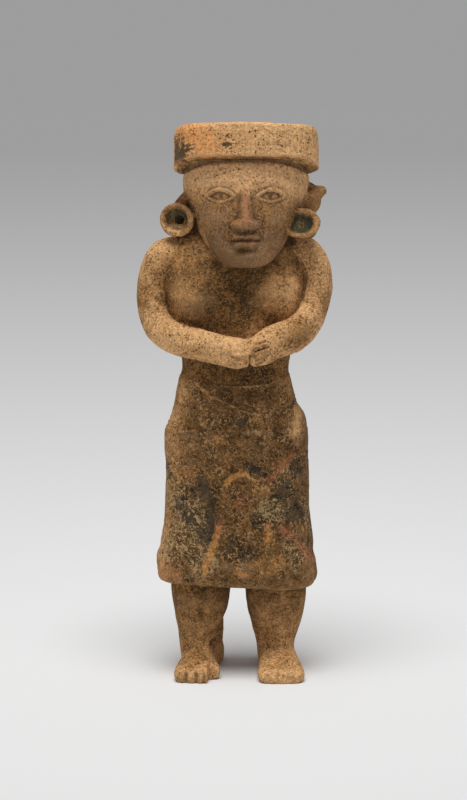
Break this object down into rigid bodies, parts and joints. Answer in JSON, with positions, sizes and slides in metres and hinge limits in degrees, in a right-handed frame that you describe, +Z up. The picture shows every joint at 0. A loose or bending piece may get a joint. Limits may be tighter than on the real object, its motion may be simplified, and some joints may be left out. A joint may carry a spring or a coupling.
{
  "type": "standing male figurine",
  "caption": "Standing figurine of solid fired clay with a thick headband, flared ear spools, hands joined at the waist, a long wrapped skirt and bare feet; it rests on its soles.",
  "frame": {"origin": "under the middle of the figurine's bounding box, on the level of its flat soles", "axes": "+Z up along the height, -Y the way the face and the toes point, +X towards the figure's left hand"},
  "size_m": [0.0702, 0.0456, 0.2],
  "materials": {
    "fired_clay": "matte"
  },
  "bodies": {
    "root": {"figurine": "fired_clay"}
  },
  "joints": []
}
